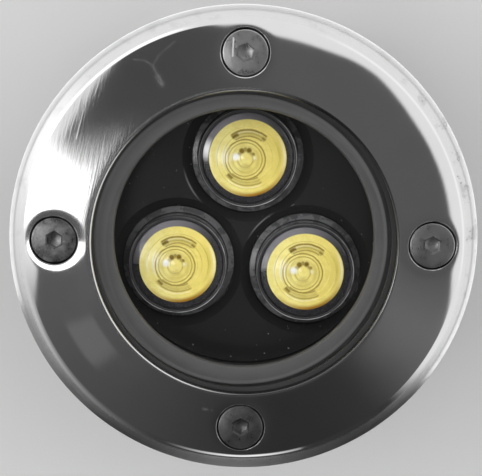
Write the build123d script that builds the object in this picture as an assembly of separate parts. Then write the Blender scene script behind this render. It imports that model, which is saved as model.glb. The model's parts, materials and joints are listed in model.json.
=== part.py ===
from build123d import *
import os
from math import cos, radians, sin

# In ground well light. Lengths in millimetres. Height 0 is the underside of the ground sleeve,
# +Z points up out of the ground and the lamp's axis is the Z axis.

# ---- fits shared by several pieces ----
thread_gap = 0.05          # radial gap between a screw and its tapped hole
running_gap = 0.05         # radial and axial gap of a clip in its groove
through_gap = 0.25         # radial gap of a screw in a plain hole
press_gap = 0.1            # radial gap of a piece pushed into its seat

# ---- lens and its holder ----
holder_radius = 11.0       # outside of the holder's barrel
holder_height = 11.0
holder_rim_wall = 0.8
holder_floor = 1.2
holder_flange_width = 1.5
holder_flange_thickness = 1.2
holder_flange_height = 4.8 # underside of the flange above the emitter board
holder_eye_radius = 4.3    # hole in the holder's floor, round the emitter
lens_edge_gap = 0.2
lens_sink = 0.2            # top of the lens below the holder's rim
lens_rim_thickness = 1.0
lens_seat_width = 0.7
lens_side_gap = 0.4
lens_foot_radius = 4.4
lens_foot_height = 2.25    # foot of the lens above the emitter board
lens_well_radius = 3.0
lens_well_depth = 4.0
lens_flank_bulge = 0.8     # outward bow of the collimator's flank
lens_dish_radius = 4.5     # shallow dish in the middle of the lens's top
lens_dish_depth = 0.5
lens_count = 3
lens_turn = -2.5           # degrees from the top screw to the first lens

# ---- emitter ----
emitter_radius = 3.9
emitter_height = 2.1
emitter_dome_radius = 2.6

# ---- inner plate ----
plate_bridge = 2.9         # least width left between two holes
plate_rim = 1.0            # least width left outside a hole
plate_hole_gap = 0.25
plate_dish_width = 1.85
plate_dish_depth = 1.3
plate_ledge = 1.0          # thickness under the holder's flange
plate_skirt_wall = 1.2
plate_edge_gap = 0.4

# ---- housing ----
seat_width = 3.95          # glass seat, from the lamp chamber to the glass's edge
seat_depth = 4.0           # glass seat below the flange's top
lamp_chamber_depth = 19.0  # from the glass seat down to the emitter board
housing_wall = 3.0
web_thickness = 4.5
rear_chamber_depth = 24.0
collar_wall = 4.5
collar_depth = 7.5
flange_thickness = 4.0
flange_overlap = 1.6       # flange beyond the sleeve's bore
fin_depth = 5.5
fin_thickness = 2.0
fin_count = 28
rear_rim_thickness = 9.0
lug_wall = 1.15
lug_floor = 1.0            # lug below the tip of the face screw

# ---- glass and gaskets ----
glass_thickness = 5.0
glass_edge_gap = 0.5
glass_overlap = 3.2        # glass under the face ring's lip
glass_chamfer = 0.6
lower_gasket_thickness = 1.6
lower_gasket_overhang = 2.95
upper_gasket_thickness = 0.8
upper_gasket_setback = 0.3

# ---- face ring ----
lip_thickness = 2.3
lip_roll_width = 1.9
lip_roll_drop = 1.1
lip_flare = 1.2            # opening's rim beyond the opening's radius
face_bulge = 0.35
shoulder_height = 4.6      # crease between face and shoulder, above the ground line
shoulder_width = 3.0
shoulder_bulge = 0.35
edge_height = 1.6
rim_lap = 0.6              # rim reaches this far down past the flange's top, to the ground line
rim_lap_gap = 0.3
screw_inset = 10.0         # face screw's axis from the ring's edge

# ---- face screws and their clips ----
screw_radius = 2.5
screw_length = 20.0
screw_head_radius = 4.9
screw_head_land = 0.35
screw_sink = 0.35
screw_seat_gap = 0.12
screw_socket_flats = 3.0
screw_socket_depth = 2.2
screw_neck_radius = 2.0
screw_neck_depth = 12.4    # clip's top below the head's top
pocket_gap = 0.45
screw_count = 4
clip_radius = 3.7
clip_thickness = 1.0
clip_mouth = 3.2
relief_gap = 0.35
relief_floor_gap = 0.3
relief_wall = 0.95

# ---- emitter board and thermal pad ----
board_thickness = 1.6
pad_thickness = 0.5
pad_setback = 0.6
board_screw_inset = 4.6
board_screw_count = 3

# ---- small pan-head screws ----
small_screw_radius = 1.5
small_screw_length = 6.0
small_head_radius = 2.75
small_head_height = 2.0
small_socket_radius = 1.2
small_socket_depth = 1.2

# ---- driver ----
driver_edge_gap = 4.0
driver_thickness = 1.6
standoff_height = 8.0
standoff_radius = 3.5
standoff_inset = 5.0
capacitor_radius = 5.0
capacitor_height = 11.0
inductor_radius = 5.0
inductor_height = 7.0
inductor_flange = 1.2
inductor_waist = 3.8
rectifier_size = (8.0, 6.5, 2.5)
chip_size = (5.0, 4.0, 1.6)
terminal_size = (8.0, 11.0, 9.0)
terminal_pitch = 5.0
terminal_mouth_radius = 1.6
terminal_mouth_depth = 5.0
terminal_screw_depth = 2.0
lead_radius = 0.7
lead_offset = 1.3
lead_gap = 0.1
bead_radius = 1.15
bead_height = 0.5
grommet_wall = 1.4
grommet_flange = 1.0

# ---- rear cover and its screws ----
rear_gasket_thickness = 1.2
cover_thickness = 4.0
cover_boss_height = 4.0
cover_boss_wall = 4.0
cover_screw_count = 4
cover_screw_radius = 2.0
cover_screw_length = 12.0
cover_head_radius = 3.5
cover_head_height = 4.0
cover_socket_flats = 3.0
cover_socket_depth = 2.0

# ---- cable gland ----
gland_thread_radius = 8.0
gland_washer_thickness = 1.5
gland_washer_width = 2.3
gland_hex_flats = 20.0
gland_hex_height = 5.0
gland_barrel_radius = 8.6
gland_barrel_length = 8.0
gland_seal_radius = 5.5
gland_seal_length = 10.0
gland_seal_stand_off = 0.4
gland_passage_radius = 4.0
cable_bore_radius = 3.1
nut_flats = 20.0
nut_hex_height = 9.0
nut_gap = 1.5
nut_length = 14.0
nut_cavity_depth = 9.0
nut_mouth_radius = 4.2
nut_nose_radius = 7.0

# ---- ground sleeve ----
sleeve_height = 87.0
sleeve_gap = 0.4
sleeve_wall = 2.0
sleeve_lip_width = 1.8
sleeve_lip_thickness = 2.5
sleeve_floor = 3.0
sleeve_rib_count = 8
sleeve_rib_width = 2.4
sleeve_rib_setback = 0.45  # rib's edge in from the lip's edge
drain_radius = 17.0
weep_radius = 3.0
weep_count = 8
conduit_bore_radius = 10.1
conduit_wall = 2.4
conduit_height = 16.0
flange_seal_thickness = 1.0
flange_seal_width = 1.7

# ---- radii that follow from the sizes above, from the lenses outwards ----
holder_flange_radius = holder_radius + holder_flange_width
plate_hole_radius = holder_flange_radius + plate_hole_gap
lens_circle = (plate_hole_radius + plate_bridge / 2) / sin(radians(180 / lens_count))
plate_radius = lens_circle + plate_hole_radius + plate_rim
chamber_bore = plate_radius + plate_edge_gap
wall_radius = chamber_bore + housing_wall
fin_radius = wall_radius + fin_depth
glass_radius = chamber_bore + seat_width
recess_radius = glass_radius + glass_edge_gap
collar_radius = recess_radius + collar_wall
opening_radius = glass_radius - glass_overlap
relief_radius = clip_radius + relief_gap
screw_circle = recess_radius + relief_wall + relief_radius
face_radius = screw_circle + screw_inset
lug_radius = relief_radius + lug_wall
sleeve_bore = screw_circle + lug_radius + sleeve_gap
sleeve_radius = sleeve_bore + sleeve_wall
sleeve_lip_radius = sleeve_radius + sleeve_lip_width
flange_radius = sleeve_bore + flange_overlap
driver_radius = chamber_bore - driver_edge_gap
standoff_circle = driver_radius - standoff_inset
board_screw_circle = plate_radius - board_screw_inset
cover_screw_circle = (chamber_bore + fin_radius) / 2
grommet_radius = lead_offset + lead_radius + grommet_wall

# ---- heights that follow from the sizes above, from the sleeve's rim up and down ----
flange_underside = sleeve_height + flange_seal_thickness
flange_top = flange_underside + flange_thickness
ground = flange_top - rim_lap
glass_seat = flange_top - seat_depth
glass_underside = glass_seat + lower_gasket_thickness
glass_top = glass_underside + glass_thickness
lip_underside = glass_top + upper_gasket_thickness
crown = lip_underside + lip_thickness
shoulder = ground + shoulder_height
board_top = glass_seat - lamp_chamber_depth
board_underside = board_top - board_thickness
web_top = board_underside - pad_thickness
web_underside = web_top - web_thickness
rear_end = web_underside - rear_chamber_depth
driver_top = web_underside - standoff_height
driver_underside = driver_top - driver_thickness
cover_top = rear_end - rear_gasket_thickness
cover_underside = cover_top - cover_thickness
gland_hex_top = cover_underside - gland_washer_thickness
gland_hex_underside = gland_hex_top - gland_hex_height
face_mid_radius = (face_radius - shoulder_width + opening_radius + lip_flare + lip_roll_width) / 2
face_mid_height = (shoulder + crown) / 2 + face_bulge
screw_top = face_mid_height - screw_sink
screw_cone_foot = screw_top - screw_head_land - (screw_head_radius - screw_radius)
screw_tip = screw_top - screw_length
clip_top = screw_top - screw_neck_depth
clip_underside = clip_top - clip_thickness


def rod(radius, low, high, x=0.0, y=0.0):
    """Upright cylinder between two heights."""
    return Pos(x, y, low) * Cylinder(radius, high - low, align=(Align.CENTER, Align.CENTER, Align.MIN))


def tube(outer, inner, low, high, x=0.0, y=0.0):
    """Upright pipe between two heights."""
    return rod(outer, low, high, x, y) - rod(inner, low, high, x, y)


def block(size, low, x=0.0, y=0.0):
    """Box of the given size that stands on a height."""
    return Pos(x, y, low) * Box(*size, align=(Align.CENTER, Align.CENTER, Align.MIN))


def hexagon(flats, low, high, x=0.0, y=0.0):
    """Upright hexagonal bar, sized across its flats."""
    outline = RegularPolygon(flats / 2, 6, major_radius=False)
    return Pos(x, y, low) * extrude(outline, high - low)


def lathe(edges, x=0.0, y=0.0):
    """Solid turned about an upright axis from a closed outline of (radius, height) edges."""
    return Pos(x, y, 0) * revolve(make_face(edges), Axis.Z)


def run(*points):
    """Straight edges through (radius, height) points."""
    corners = [(radius, 0, height) for radius, height in points]
    return [Line(start, end) for start, end in zip(corners, corners[1:])]


def bend(start, middle, end):
    """Arc through three (radius, height) points."""
    return [ThreePointArc(*[(radius, 0, height) for radius, height in (start, middle, end)])]


def turned(*points, x=0.0, y=0.0):
    """Solid turned from a closed outline of straight runs."""
    return lathe(run(*points, points[0]), x, y)


def spots(count, radius, first):
    """Evenly spaced places round the axis, starting at an angle in degrees."""
    angles = [radians(first + step * 360 / count) for step in range(count)]
    return [(radius * cos(angle), radius * sin(angle)) for angle in angles]


lens_spots = spots(lens_count, lens_circle, 90 + lens_turn)
board_screw_spots = spots(board_screw_count, board_screw_circle, 90 + lens_turn + 180 / lens_count)
screw_spots = spots(screw_count, screw_circle, 90)
standoff_spots = spots(3, standoff_circle, 60)
cover_screw_spots = spots(cover_screw_count, cover_screw_circle, 45)
lead_spots = [(-lead_offset, 0.0), (lead_offset, 0.0)]


def ground_sleeve():
    """Plastic pot that stays in the ground: open top with a lip, drained floor, two conduit sockets."""
    pot = tube(sleeve_radius, sleeve_bore, 0, sleeve_height)
    pot += rod(sleeve_radius, 0, sleeve_floor)
    pot += tube(sleeve_lip_radius, sleeve_bore, sleeve_height - sleeve_lip_thickness, sleeve_height)
    pot += tube(sleeve_lip_radius, sleeve_bore, 0, sleeve_floor)
    rib_root = sleeve_radius - sleeve_wall / 2
    rib_edge = sleeve_lip_radius - sleeve_rib_setback
    rib = Box(rib_edge - rib_root, sleeve_rib_width, sleeve_height, align=(Align.MIN, Align.CENTER, Align.MIN))
    for step in range(sleeve_rib_count):
        turn = (step + 0.5) * 360 / sleeve_rib_count
        pot += Rot(0, 0, turn) * Pos(rib_root, 0, 0) * rib
    reach = sleeve_lip_radius
    socket_radius = conduit_bore_radius + conduit_wall
    mouth = Rot(0, 90, 0) * Cylinder(conduit_bore_radius, 2 * reach + 1)
    socket = Rot(0, 90, 0) * Cylinder(socket_radius, 2 * reach)
    socket -= rod(sleeve_bore, -socket_radius, socket_radius)
    pot += Pos(0, 0, conduit_height) * socket
    pot -= Pos(0, 0, conduit_height) * mouth
    pot -= rod(drain_radius, 0, sleeve_floor)
    weep_circle = (drain_radius + sleeve_bore) / 2
    for x, y in spots(weep_count, weep_circle, 180 / weep_count):
        pot -= rod(weep_radius, 0, sleeve_floor, x, y)
    return pot


def flange_seal():
    """Flat rubber ring between the sleeve's rim and the housing's flange."""
    inner = sleeve_bore + sleeve_gap / 2
    return tube(inner + flange_seal_width, inner, sleeve_height, flange_underside)


def housing():
    """Die-cast body: flange, glass seat, lamp chamber, web, rear chamber, fins and screw lugs."""
    body = tube(flange_radius, recess_radius, flange_underside, flange_top)
    body += tube(collar_radius, recess_radius, glass_seat, flange_top)
    body += tube(collar_radius, chamber_bore, flange_top - collar_depth, glass_seat)
    body += tube(wall_radius, chamber_bore, rear_end, glass_seat)
    body += rod(chamber_bore + housing_wall / 2, web_underside, web_top)
    body += tube(fin_radius, chamber_bore, rear_end, rear_end + rear_rim_thickness)
    fin_height = flange_top - collar_depth - rear_end
    fin = Box(fin_depth + housing_wall / 2, fin_thickness, fin_height, align=(Align.MIN, Align.CENTER, Align.MIN))
    fins = [
        Rot(0, 0, (step + 0.5) * 360 / fin_count) * Pos(chamber_bore + housing_wall / 2, 0, rear_end) * fin
        for step in range(fin_count)
    ]
    body = body.fuse(*fins)
    body += [rod(lug_radius, screw_tip - lug_floor, flange_top, x, y) for x, y in screw_spots]
    body += [rod(standoff_radius, driver_top, web_underside, x, y) for x, y in standoff_spots]
    cuts = [rod(recess_radius, glass_seat, flange_top)]
    for x, y in screw_spots:
        cuts.append(rod(relief_radius, clip_underside - relief_floor_gap, flange_top, x, y))
        cuts.append(rod(screw_radius + thread_gap, screw_tip - lug_floor, flange_top, x, y))
    for x, y in board_screw_spots:
        tap_depth = small_screw_length - board_thickness - pad_thickness
        cuts.append(rod(small_screw_radius + thread_gap, web_top - tap_depth, web_top, x, y))
    for x, y in standoff_spots:
        tap_depth = small_screw_length - driver_thickness
        cuts.append(rod(small_screw_radius + thread_gap, driver_top, driver_top + tap_depth, x, y))
    for x, y in cover_screw_spots:
        tap_depth = cover_screw_length - cover_thickness - rear_gasket_thickness
        cuts.append(rod(cover_screw_radius + thread_gap, rear_end, rear_end + tap_depth, x, y))
    cuts.append(rod(grommet_radius + press_gap, web_underside, web_top))
    return body.cut(*cuts)


def lower_gasket():
    """Silicone ring under the glass; its inner edge shows through the glass."""
    return tube(glass_radius, chamber_bore - lower_gasket_overhang, glass_seat, glass_underside)


def upper_gasket():
    """Thin silicone ring between the glass and the face ring's lip."""
    return tube(glass_radius, opening_radius + upper_gasket_setback, glass_top, lip_underside)


def glass():
    """Flat toughened glass with a ground bevel round both edges."""
    bevelled = glass_radius - glass_chamfer
    return turned(
        (0, glass_underside),
        (bevelled, glass_underside),
        (glass_radius, glass_underside + glass_chamfer),
        (glass_radius, glass_top - glass_chamfer),
        (bevelled, glass_top),
        (0, glass_top),
    )


def face_ring():
    """Stainless ring: bevelled shoulder, domed face, rolled lip over the glass, four screw pockets."""
    crease = (face_radius - shoulder_width, shoulder)
    edge = (face_radius, ground + edge_height)
    shoulder_mid = (
        (crease[0] + edge[0]) / 2 + shoulder_bulge,
        (crease[1] + edge[1]) / 2 + shoulder_bulge,
    )
    roll_start = (opening_radius + lip_flare + lip_roll_width, crown)
    roll_end = (opening_radius + lip_flare, crown - lip_roll_drop)
    roll_mid = (
        roll_start[0] - lip_roll_width * sin(radians(45)),
        roll_start[1] - lip_roll_drop * (1 - cos(radians(45))),
    )
    lap_radius = flange_radius + rim_lap_gap
    outline = run(
        (recess_radius, flange_top),
        (lap_radius, flange_top),
        (lap_radius, ground),
        (face_radius, ground),
        edge,
    )
    outline += bend(edge, shoulder_mid, crease)
    outline += bend(crease, (face_mid_radius, face_mid_height), roll_start)
    outline += bend(roll_start, roll_mid, roll_end)
    outline += run(
        roll_end,
        (opening_radius, lip_underside),
        (recess_radius, lip_underside),
        (recess_radius, flange_top),
    )
    hole_radius = screw_radius + through_gap
    pocket_radius = screw_head_radius + pocket_gap
    cone_foot = screw_cone_foot + through_gap - screw_seat_gap
    above = crown + screw_head_land
    pockets = [
        turned(
            (0, flange_top),
            (hole_radius, flange_top),
            (hole_radius, cone_foot),
            (pocket_radius, cone_foot + pocket_radius - hole_radius),
            (pocket_radius, above),
            (0, above),
            x=x,
            y=y,
        )
        for x, y in screw_spots
    ]
    return lathe(outline).cut(*pockets)


def face_screw(x, y):
    """Flat-head hex-socket screw with a neck for its clip."""
    neck_top = clip_top + running_gap
    neck_foot = clip_underside - running_gap
    screw = turned(
        (0, screw_tip),
        (screw_radius, screw_tip),
        (screw_radius, neck_foot),
        (screw_neck_radius, neck_foot),
        (screw_neck_radius, neck_top),
        (screw_radius, neck_top),
        (screw_radius, screw_cone_foot),
        (screw_head_radius, screw_top - screw_head_land),
        (screw_head_radius, screw_top),
        (0, screw_top),
        x=x,
        y=y,
    )
    return screw - hexagon(screw_socket_flats, screw_top - screw_socket_depth, screw_top, x, y)


def screw_clip(x, y):
    """Open retaining clip in the screw's neck, too wide for the ring's hole."""
    clip = tube(clip_radius, screw_neck_radius + running_gap, clip_underside, clip_top, x, y)
    length = clip_radius + 1
    mouth = Box(clip_mouth, length, clip_thickness, align=(Align.CENTER, Align.MIN, Align.MIN))
    return clip - Pos(x, y, clip_underside) * mouth


def lens_holder(x, y):
    """Barrel that stands on the emitter board, with a base flange and a stepped rim for the lens."""
    lens_rim_radius = holder_radius - holder_rim_wall
    step = board_top + holder_height - lens_sink - lens_rim_thickness
    seat_radius = lens_rim_radius - lens_edge_gap - lens_seat_width
    flange_low = board_top + holder_flange_height
    flange_high = flange_low + holder_flange_thickness
    return turned(
        (holder_eye_radius, board_top),
        (holder_radius, board_top),
        (holder_radius, flange_low),
        (holder_flange_radius, flange_low),
        (holder_flange_radius, flange_high),
        (holder_radius, flange_high),
        (holder_radius, board_top + holder_height),
        (lens_rim_radius, board_top + holder_height),
        (lens_rim_radius, step),
        (seat_radius, step),
        (seat_radius, board_top + holder_floor),
        (holder_eye_radius, board_top + holder_floor),
        x=x,
        y=y,
    )


def lens(x, y):
    """Collimator lens: curved flank, flat rim that sits on the holder's step, well over the emitter."""
    rim_radius = holder_radius - holder_rim_wall - lens_edge_gap
    head_radius = rim_radius - lens_seat_width - lens_side_gap
    top = board_top + holder_height - lens_sink
    rim_low = top - lens_rim_thickness
    foot = board_top + lens_foot_height
    flank_mid = (
        (lens_foot_radius + head_radius) / 2 + lens_flank_bulge,
        (foot + rim_low) / 2 - lens_flank_bulge,
    )
    well_top = foot + lens_well_depth
    outline = run((0, well_top), (lens_well_radius, well_top - lens_well_radius / 3))
    outline += run((lens_well_radius, well_top - lens_well_radius / 3), (lens_well_radius, foot))
    outline += run((lens_well_radius, foot), (lens_foot_radius, foot))
    outline += bend((lens_foot_radius, foot), flank_mid, (head_radius, rim_low))
    outline += run(
        (head_radius, rim_low),
        (rim_radius, rim_low),
        (rim_radius, top),
        (lens_dish_radius, top),
        (lens_dish_radius - lens_dish_depth, top - lens_dish_depth),
        (0, top - lens_dish_depth),
        (0, well_top),
    )
    return lathe(outline, x, y)


def emitter(x, y):
    """High-power emitter: round body with a clear dome."""
    low = board_top + emitter_height
    dome = Pos(x, y, low) * Sphere(emitter_dome_radius)
    dome -= rod(emitter_radius, low - emitter_dome_radius, low, x, y)
    return rod(emitter_radius, board_top, low, x, y) + dome


def inner_plate():
    """Glossy cover over the emitter board, with a dished well round each lens holder."""
    ledge_top = board_top + holder_flange_height
    ledge_low = ledge_top - plate_ledge
    dish_low = ledge_top + holder_flange_thickness
    top = dish_low + plate_dish_depth
    plate = rod(plate_radius, ledge_low, top)
    plate += tube(plate_radius, plate_radius - plate_skirt_wall, board_top, ledge_low)
    wells = []
    for x, y in lens_spots:
        wells.append(rod(holder_radius + plate_hole_gap, ledge_low, ledge_top, x, y))
        wells.append(
            turned(
                (0, ledge_top),
                (plate_hole_radius, ledge_top),
                (plate_hole_radius, dish_low),
                (plate_hole_radius + plate_dish_width, top),
                (0, top),
                x=x,
                y=y,
            )
        )
    return plate.cut(*wells)


def emitter_board():
    """Round metal-core board."""
    board = rod(plate_radius, board_underside, board_top)
    holes = [
        rod(small_screw_radius + through_gap, board_underside, board_top, x, y) for x, y in board_screw_spots
    ]
    holes += [rod(lead_radius + lead_gap, board_underside, board_top, x, y) for x, y in lead_spots]
    return board.cut(*holes)


def thermal_pad():
    """Soft pad that takes the board's heat to the web."""
    pad = rod(plate_radius - pad_setback, web_top, board_underside)
    holes = [
        rod(small_screw_radius + through_gap, web_top, board_underside, x, y) for x, y in board_screw_spots
    ]
    holes.append(rod(grommet_radius + press_gap, web_top, board_underside))
    return pad.cut(*holes)


def small_screw(x, y, seat, direction):
    """Pan-head screw whose head sits on a height; direction 1 points its head up, -1 down."""
    socket = rod(small_socket_radius, small_head_height - small_socket_depth, small_head_height)
    screw = rod(small_head_radius, 0, small_head_height) + rod(small_screw_radius, -small_screw_length, 0)
    screw -= socket
    flip = 0 if direction > 0 else 180
    return Pos(x, y, seat) * Rot(flip, 0, 0) * screw


def board_screws():
    """Three screws that clamp the emitter board and its pad to the web."""
    return Compound([small_screw(x, y, board_top, 1) for x, y in board_screw_spots])


def driver_screws():
    """Three screws that hold the driver board on the housing's standoffs."""
    return Compound([small_screw(x, y, driver_underside, -1) for x, y in standoff_spots])


def lead_grommet():
    """Rubber plug in the web that seals round the two leads."""
    plug = rod(grommet_radius, web_underside, web_top)
    plug += rod(grommet_radius + grommet_flange, web_underside - grommet_flange, web_underside)
    return plug.cut(*[rod(lead_radius, web_underside - grommet_flange, web_top, x, y) for x, y in lead_spots])


def emitter_leads():
    """Two leads from the driver board up to the emitter board, each with a solder bead at its top."""
    leads = []
    for x, y in lead_spots:
        lead = rod(lead_radius, driver_underside, board_top, x, y)
        lead += rod(bead_radius, board_top, board_top + bead_height, x, y)
        leads.append(lead)
    return Compound(leads)


def driver_board():
    """Round circuit board on three standoffs in the rear chamber."""
    board = rod(driver_radius, driver_underside, driver_top)
    holes = [
        rod(small_screw_radius + through_gap, driver_underside, driver_top, x, y) for x, y in standoff_spots
    ]
    holes += [rod(lead_radius + lead_gap, driver_underside, driver_top, x, y) for x, y in lead_spots]
    return board.cut(*holes)


def driver_place(angle, inset):
    """Place on the driver board at an angle, a given way in from its edge."""
    radius = driver_radius - inset
    return radius * cos(radians(angle)), radius * sin(radians(angle))


def capacitor():
    """Electrolytic can with a crimped groove near its foot."""
    x, y = driver_place(90, capacitor_radius + 2)
    groove_depth = capacitor_radius / 12
    groove_high = driver_underside - capacitor_height / 8
    groove_low = groove_high - capacitor_height / 10
    can = rod(capacitor_radius, driver_underside - capacitor_height, driver_underside, x, y)
    return can - tube(capacitor_radius, capacitor_radius - groove_depth, groove_low, groove_high, x, y)


def inductor():
    """Drum inductor: a winding between two flanges."""
    x, y = driver_place(210, inductor_radius + 2)
    low = driver_underside - inductor_height
    return turned(
        (0, low),
        (inductor_radius, low),
        (inductor_radius, low + inductor_flange),
        (inductor_waist, low + inductor_flange),
        (inductor_waist, driver_underside - inductor_flange),
        (inductor_radius, driver_underside - inductor_flange),
        (inductor_radius, driver_underside),
        (0, driver_underside),
        x=x,
        y=y,
    )


def rectifier():
    """Bridge rectifier."""
    x, y = driver_place(270, rectifier_size[1] + 2)
    return block(rectifier_size, driver_underside - rectifier_size[2], x, y)


def control_chip():
    """Current controller."""
    x, y = driver_place(140, driver_radius / 2)
    return block(chip_size, driver_underside - chip_size[2], x, y)


def terminal_block():
    """Two-way screw terminal for the supply cable, mouths towards the lamp's axis."""
    x, y = driver_place(0, terminal_size[0] + 1)
    low = driver_underside - terminal_size[2]
    body = block(terminal_size, low, x, y)
    inner_side = x - terminal_size[0] / 2
    mouth = Rot(0, 90, 0) * Cylinder(
        terminal_mouth_radius, terminal_mouth_depth, align=(Align.CENTER, Align.CENTER, Align.MIN)
    )
    cuts = []
    for side in (-terminal_pitch / 2, terminal_pitch / 2):
        cuts.append(Pos(inner_side, y + side, driver_underside - terminal_size[2] / 3) * mouth)
        cuts.append(rod(terminal_mouth_radius, low, low + terminal_screw_depth, x, y + side))
    return body.cut(*cuts)


def rear_gasket():
    """Flat gasket between the housing's rear rim and the rear cover."""
    ring = tube(fin_radius, chamber_bore, cover_top, rear_end)
    holes = [
        rod(cover_screw_radius + through_gap, cover_top, rear_end, x, y) for x, y in cover_screw_spots
    ]
    return ring.cut(*holes)


def rear_cover():
    """Cover of the rear chamber, with a tapped boss for the cable gland."""
    boss_radius = gland_thread_radius + cover_boss_wall
    cover = rod(fin_radius, cover_underside, cover_top)
    cover += rod(boss_radius, cover_top, cover_top + cover_boss_height)
    cuts = [rod(gland_thread_radius + thread_gap, cover_underside, cover_top + cover_boss_height)]
    cuts += [
        rod(cover_screw_radius + through_gap, cover_underside, cover_top, x, y) for x, y in cover_screw_spots
    ]
    return cover.cut(*cuts)


def cover_screws():
    """Four socket cap screws under the rear cover."""
    screws = []
    for x, y in cover_screw_spots:
        head_low = cover_underside - cover_head_height
        screw = rod(cover_head_radius, head_low, cover_underside, x, y)
        screw += rod(cover_screw_radius, cover_underside, cover_underside + cover_screw_length, x, y)
        screw -= hexagon(cover_socket_flats, head_low, head_low + cover_socket_depth, x, y)
        screws.append(screw)
    return Compound(screws)


def gland_washer():
    """Rubber washer between the gland and the rear cover."""
    inner = gland_thread_radius + press_gap
    return tube(inner + gland_washer_width, inner, gland_hex_top, cover_underside)


def gland_body():
    """Gland body: thread into the cover, hexagon, and a barrel for the dome nut."""
    thread_top = cover_top + cover_boss_height
    barrel_end = gland_hex_underside - gland_barrel_length
    body = hexagon(gland_hex_flats, gland_hex_underside, gland_hex_top)
    body += rod(gland_thread_radius, gland_hex_top, thread_top)
    body += rod(gland_barrel_radius, barrel_end, gland_hex_underside)
    body -= rod(gland_passage_radius, gland_hex_underside, thread_top)
    body -= rod(gland_seal_radius + press_gap, barrel_end, gland_hex_underside)
    return body


def gland_seal():
    """Rubber insert that grips the cable."""
    high = gland_hex_underside - gland_seal_stand_off
    return tube(gland_seal_radius, cable_bore_radius, high - gland_seal_length, high)


def gland_nut():
    """Dome nut over the gland's barrel."""
    high = gland_hex_underside - nut_gap
    low = high - nut_length
    shoulder_low = high - nut_hex_height
    nut = hexagon(nut_flats, shoulder_low, high)
    nose = turned(
        (0, low),
        (nut_nose_radius, low),
        (nut_flats / 2, shoulder_low),
        (0, shoulder_low),
    )
    nut += nose
    nut -= rod(gland_barrel_radius + thread_gap, high - nut_cavity_depth, high)
    nut -= rod(nut_mouth_radius, low, high)
    return nut


parts = {
    "ground_sleeve": ground_sleeve(),
    "flange_seal": flange_seal(),
    "housing": housing(),
    "lower_glass_gasket": lower_gasket(),
    "upper_glass_gasket": upper_gasket(),
    "glass": glass(),
    "face_ring": face_ring(),
    "inner_plate": inner_plate(),
    "emitter_board": emitter_board(),
    "board_screws": board_screws(),
    "thermal_pad": thermal_pad(),
    "lead_grommet": lead_grommet(),
    "emitter_leads": emitter_leads(),
    "driver_board": driver_board(),
    "driver_screws": driver_screws(),
    "driver_capacitor": capacitor(),
    "driver_inductor": inductor(),
    "driver_rectifier": rectifier(),
    "driver_control_chip": control_chip(),
    "driver_terminal_block": terminal_block(),
    "rear_gasket": rear_gasket(),
    "rear_cover": rear_cover(),
    "rear_cover_screws": cover_screws(),
    "gland_washer": gland_washer(),
    "gland_body": gland_body(),
    "gland_seal": gland_seal(),
    "gland_nut": gland_nut(),
}
for number, (x, y) in enumerate(lens_spots, 1):
    parts[f"lens_holder_{number}"] = lens_holder(x, y)
    parts[f"lens_{number}"] = lens(x, y)
    parts[f"emitter_{number}"] = emitter(x, y)
for number, (x, y) in enumerate(screw_spots, 1):
    parts[f"face_screw_{number}"] = face_screw(x, y)
    parts[f"screw_clip_{number}"] = screw_clip(x, y)

os.makedirs("parts", exist_ok=True)
for name, shape in parts.items():
    export_step(shape, f"parts/{name}.step")
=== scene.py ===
import json
import math

import bmesh
import bpy
import numpy as np
from mathutils import Matrix, Vector


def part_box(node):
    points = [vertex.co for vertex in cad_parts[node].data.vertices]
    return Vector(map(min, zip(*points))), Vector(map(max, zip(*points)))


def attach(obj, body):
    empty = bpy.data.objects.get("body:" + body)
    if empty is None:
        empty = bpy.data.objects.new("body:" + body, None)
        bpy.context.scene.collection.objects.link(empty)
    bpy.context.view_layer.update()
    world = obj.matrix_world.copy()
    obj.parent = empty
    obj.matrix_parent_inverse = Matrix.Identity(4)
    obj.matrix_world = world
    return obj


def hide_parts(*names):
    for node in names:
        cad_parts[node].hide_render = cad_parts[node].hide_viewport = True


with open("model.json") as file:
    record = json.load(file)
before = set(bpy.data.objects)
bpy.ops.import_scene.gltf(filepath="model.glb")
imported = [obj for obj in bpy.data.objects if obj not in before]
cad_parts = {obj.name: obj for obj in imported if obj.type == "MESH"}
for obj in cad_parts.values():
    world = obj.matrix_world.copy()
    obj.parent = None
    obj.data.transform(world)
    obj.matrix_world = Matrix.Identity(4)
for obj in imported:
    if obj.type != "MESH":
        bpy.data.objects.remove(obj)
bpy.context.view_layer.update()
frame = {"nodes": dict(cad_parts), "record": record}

MM = 0.001

# ---- sizes taken from the fixed frame ----
ring_low, ring_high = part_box("face_ring")
_, glass_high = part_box("glass")
holder_low, holder_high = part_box("lens_holder_1")
lens_low, lens_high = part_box("lens_1")
screw_low, screw_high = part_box("face_screw_1")

face_radius = ring_high.x
crown = ring_high.z
ground = ring_low.z
glass_radius = glass_high.x
lip_underside = glass_high.z + 0.8 * MM
opening_radius = glass_radius - 3.2 * MM
lip_wall = opening_radius + 0.95 * MM
crease_radius = face_radius - 3.0 * MM
crease_height = ground + 4.6 * MM
recess_radius = glass_radius + 0.5 * MM
flange_top = ground + 0.6 * MM
lap_radius = face_radius - 2.5 * MM
screw_circle = (screw_low.y + screw_high.y) / 2
screw_top = screw_high.z
screw_tip = screw_low.z


def node_axis(node):
    """The upright axis of a round CAD node, as its x and y."""
    low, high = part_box(node)
    return (low.x + high.x) / 2, (low.y + high.y) / 2


screw_axes = [node_axis(f"face_screw_{number}") for number in (1, 2, 3, 4)]
lens_axes = [node_axis(f"lens_{number}") for number in (1, 2, 3)]
lens_circle = math.hypot(*lens_axes[0])
lens_bearing = math.atan2(lens_axes[0][1], lens_axes[0][0])


# ---------------------------------------------------------------- patterns as expressions


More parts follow.
